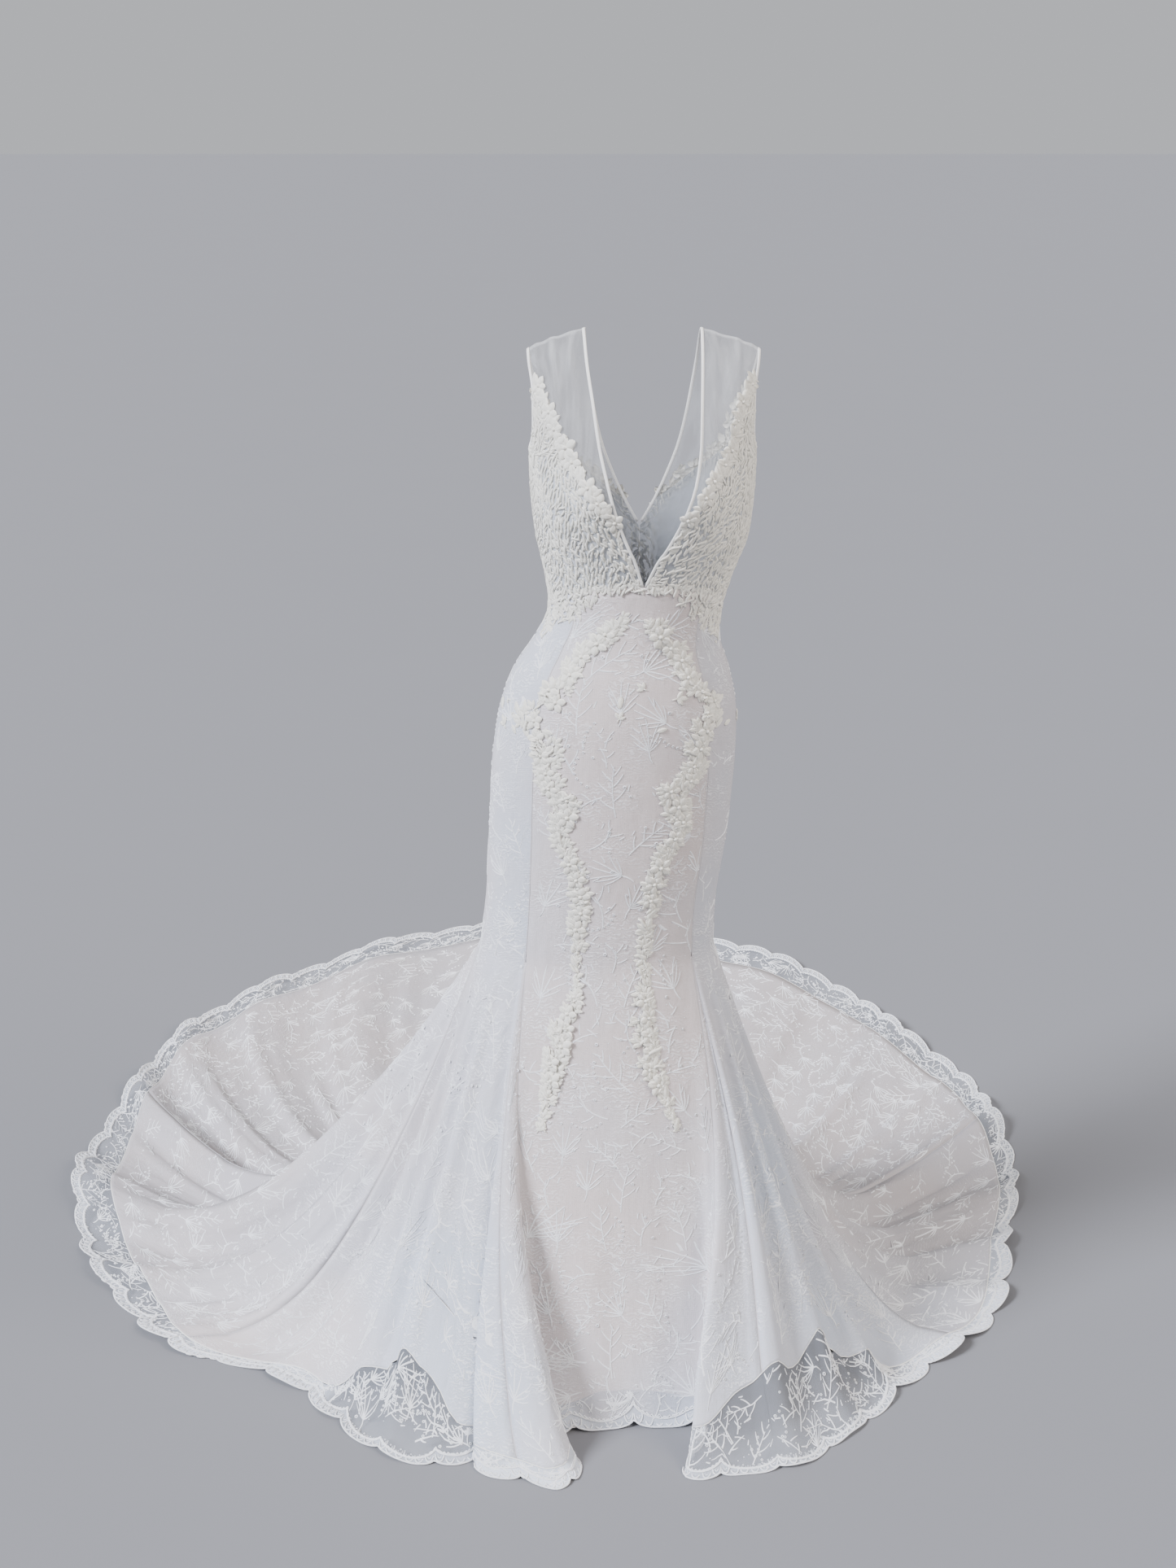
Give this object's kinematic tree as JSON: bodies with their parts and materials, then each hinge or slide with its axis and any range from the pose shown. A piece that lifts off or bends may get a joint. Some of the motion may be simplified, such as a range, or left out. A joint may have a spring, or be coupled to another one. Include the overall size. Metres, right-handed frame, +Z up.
{
  "type": "wedding gown",
  "caption": "Sleeveless mermaid wedding gown of corded lace and tulle with a deep V neck, flared skirt and a long spread train with a scalloped border.",
  "frame": {"origin": "where the gown is held up, midway between its two shoulder tops", "axes": "+Z up, the front of the gown faces -Y, the wearer's left is +X, the train runs towards +Y"},
  "size_m": [1.652, 1.9168, 1.5049],
  "materials": {
    "corded_lace": "matte corded ivory lace on tulle",
    "tulle": "sheer soft tulle",
    "skirt_lace": "fine embroidered lace over a pale satin lining",
    "hem_lace": "sheer embroidered net with a scalloped edge",
    "binding": "soft white bias binding"
  },
  "bodies": {
    "root": {"train_right": "skirt_lace", "train_left": "skirt_lace", "side_back_right": "skirt_lace", "side_back_left": "skirt_lace", "side_front_right": "skirt_lace", "side_front_left": "skirt_lace", "godet_right": "skirt_lace", "godet_left": "skirt_lace", "front": "skirt_lace", "hem_lace_train_right": "hem_lace", "hem_lace_train_left": "hem_lace", "hem_lace_side_back_right": "hem_lace", "hem_lace_side_back_left": "hem_lace", "hem_lace_side_front_right": "hem_lace", "hem_lace_side_front_left": "hem_lace", "hem_lace_godet_right": "hem_lace", "hem_lace_godet_left": "hem_lace", "hem_lace_front": "hem_lace", "bodice_front_right": "corded_lace", "bodice_front_left": "corded_lace", "bodice_back_right": "corded_lace", "bodice_back_left": "corded_lace", "yoke_right": "tulle", "yoke_left": "tulle", "neck_binding_right": "binding", "neck_binding_left": "binding", "armhole_binding_right": "binding", "armhole_binding_left": "binding", "applique_right": "corded_lace", "applique_left": "corded_lace"}
  },
  "joints": []
}
